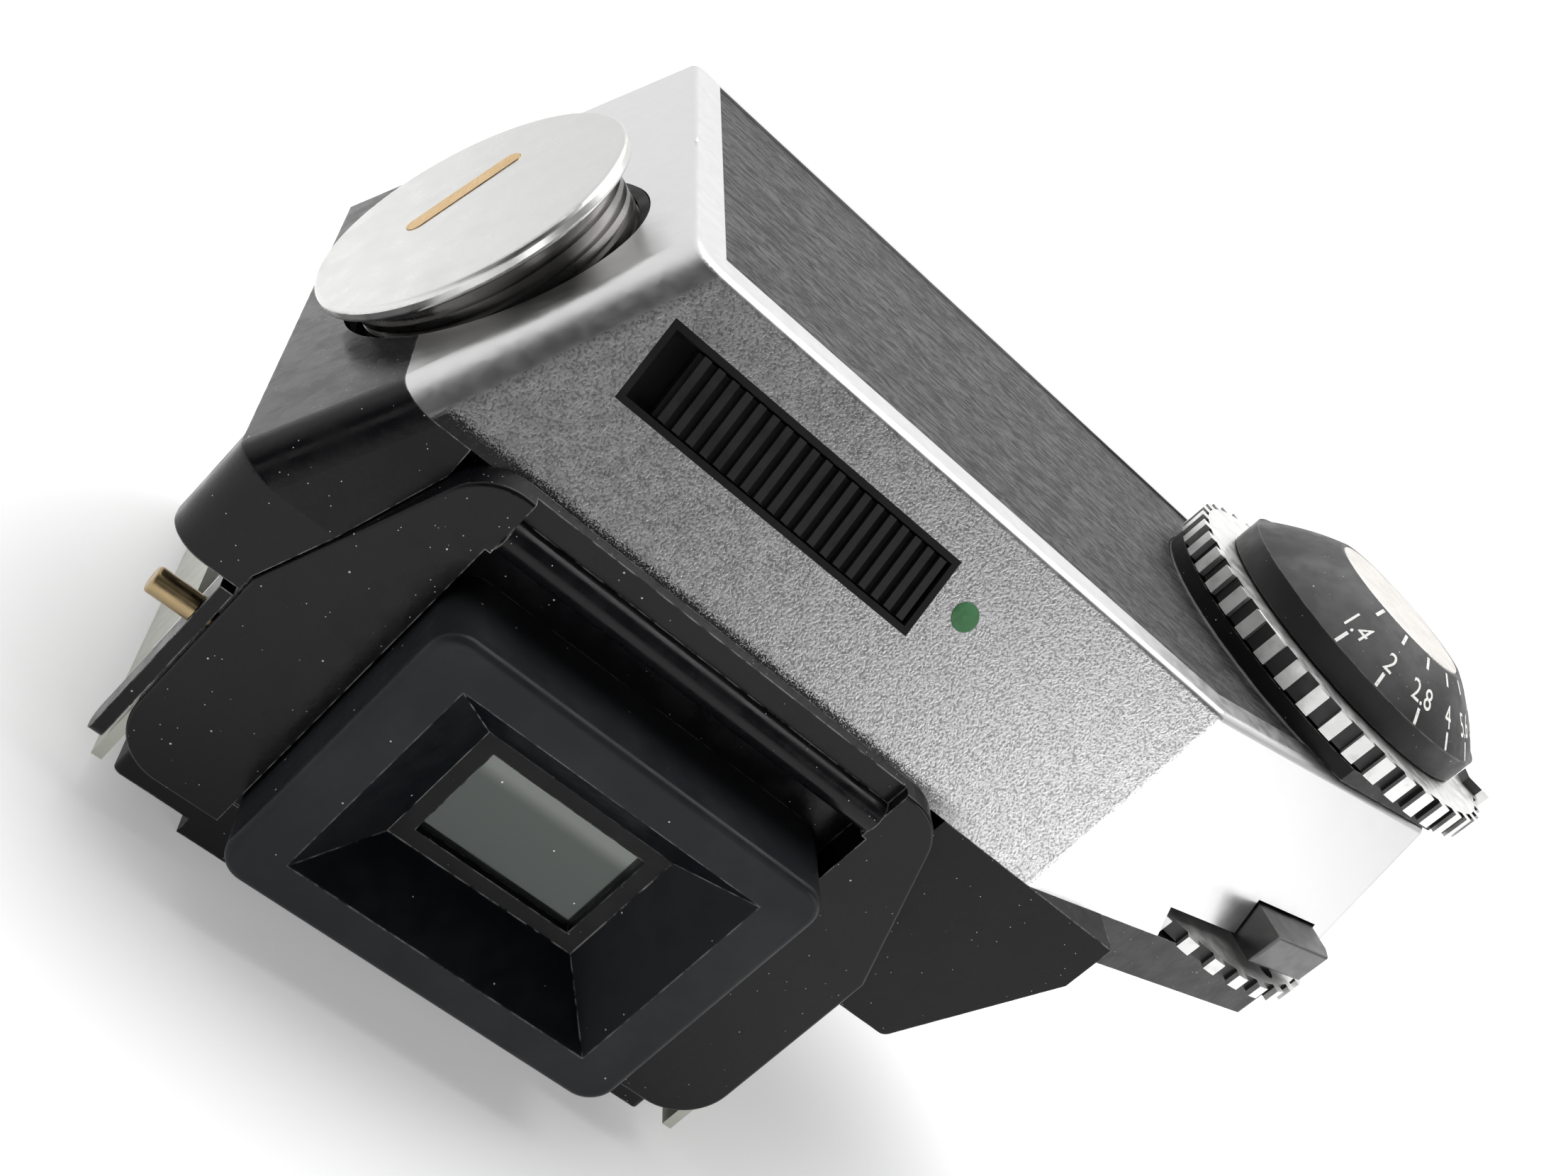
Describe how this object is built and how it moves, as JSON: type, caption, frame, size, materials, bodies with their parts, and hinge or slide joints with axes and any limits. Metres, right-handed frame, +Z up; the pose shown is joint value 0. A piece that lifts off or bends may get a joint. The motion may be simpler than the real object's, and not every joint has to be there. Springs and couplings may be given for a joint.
{
  "type": "camera metering prism finder",
  "caption": "Clip-on metering prism finder: hipped silver housing, black eyepiece block, aperture dial over a knurled ring, ribbed switch and a battery cap on the left face.",
  "frame": {"origin": "centre of the camera seat, on the underside of the mount tongue", "axes": "+X to the photographer's right, +Y towards the subject, +Z up"},
  "size_m": [0.1029, 0.0587, 0.0622],
  "materials": {
    "satin_silver": "satin",
    "black_enamel": "gloss with fine wear at the edges",
    "black_satin": "satin",
    "leatherette": "grained",
    "matte_black_plastic": "matte",
    "optical_glass": "polished",
    "brass": "polished",
    "plain_steel": "brushed",
    "ring_silver": "satin",
    "disc_silver": "satin",
    "green_dot": "gloss",
    "board_green": "matte",
    "cell_steel": "satin",
    "sensor": "gloss"
  },
  "bodies": {
    "housing": {"upper_shell": "satin_silver", "leatherette_panel": "leatherette", "base_frame": "black_enamel", "left_cover": "black_enamel", "prism_housing": "black_satin", "rear_plate": "black_enamel", "eyepiece_frame": "black_satin", "eyepiece_bezel": "black_satin", "eyepiece_lens": "optical_glass", "roof_prism": "optical_glass", "prism_seat": "matte_black_plastic", "prism_clamp": "plain_steel", "condenser_lens": "optical_glass", "photo_cell_left": "sensor", "photo_cell_right": "sensor", "cell_bracket": "matte_black_plastic", "mount_plate": "black_satin", "mount_screw_1": "plain_steel", "mount_screw_2": "plain_steel", "mount_screw_3": "plain_steel", "mount_screw_4": "plain_steel", "left_rail": "plain_steel", "right_rail": "plain_steel", "latch_stud": "brass", "latch_spring": "plain_steel", "switch_frame": "matte_black_plastic", "switch_contact": "brass", "ready_dot": "green_dot", "battery_chamber": "matte_black_plastic", "battery_contact": "brass", "battery_cell": "cell_steel", "dial_collar": "black_satin", "click_spring": "plain_steel", "resistor_ring": "matte_black_plastic", "ring_post": "plain_steel", "ring_retainer": "plain_steel", "meter_movement": "matte_black_plastic", "circuit_board": "board_green"},
    "switch_slider": {"switch_slider": "matte_black_plastic"},
    "battery_cap": {"battery_cap": "satin_silver", "cap_inlay": "brass", "cap_spring": "brass"},
    "latch_lever": {"latch_lever": "black_enamel"},
    "aperture_dial": {"aperture_dial": "black_satin", "dial_top_disc": "disc_silver", "dial_axle": "plain_steel", "click_wheel": "brass", "wiper_arm": "brass"},
    "speed_ring": {"speed_ring": "ring_silver"},
    "film_ring": {"film_ring": "ring_silver"},
    "lock_bar": {"lock_bar": "black_satin", "lock_spring": "plain_steel"},
    "meter_needle": {"meter_needle": "plain_steel"}
  },
  "joints": [
    {"name": "switch_slide", "type": "slide", "parent": "housing", "child": "switch_slider", "axis": [1, 0, 0], "range_m": [-0.002, 0]},
    {"name": "cap_turn", "type": "hinge", "parent": "housing", "child": "battery_cap", "pos_m": [-0.02398, 0.0003, 0.0394], "axis": [-0.9206, -0.081, 0.382], "range_deg": [0, 60]},
    {"name": "latch_pivot", "type": "hinge", "parent": "housing", "child": "latch_lever", "pos_m": [-0.02595, -0.0199, 0.0161], "axis": [1, 0, 0], "range_deg": [-8, 5], "stiffness_Nm_per_rad": 0.02},
    {"name": "aperture_turn", "type": "hinge", "parent": "housing", "child": "aperture_dial", "pos_m": [0.0532, 0.0132, 0.058], "axis": [0, 0, 1], "range_deg": [-143.5, 0]},
    {"name": "speed_turn", "type": "hinge", "parent": "housing", "child": "speed_ring", "pos_m": [0.0532, 0.0132, 0.0547], "axis": [0, 0, 1], "range_deg": [-100, 100]},
    {"name": "film_turn", "type": "hinge", "parent": "housing", "child": "film_ring", "pos_m": [0.0493, 0.0064, 0.0364], "axis": [0, 0, 1], "range_deg": [-120, 120]},
    {"name": "lock_press", "type": "slide", "parent": "housing", "child": "lock_bar", "axis": [-0.4226, 0.9063, 0], "range_m": [0, 0.001], "stiffness_N_per_m": 400},
    {"name": "needle_swing", "type": "hinge", "parent": "housing", "child": "meter_needle", "pos_m": [0.0285, 0.014, 0.0488], "axis": [0, 0, 1], "range_deg": [-20, 20], "stiffness_Nm_per_rad": 0.00002}
  ]
}
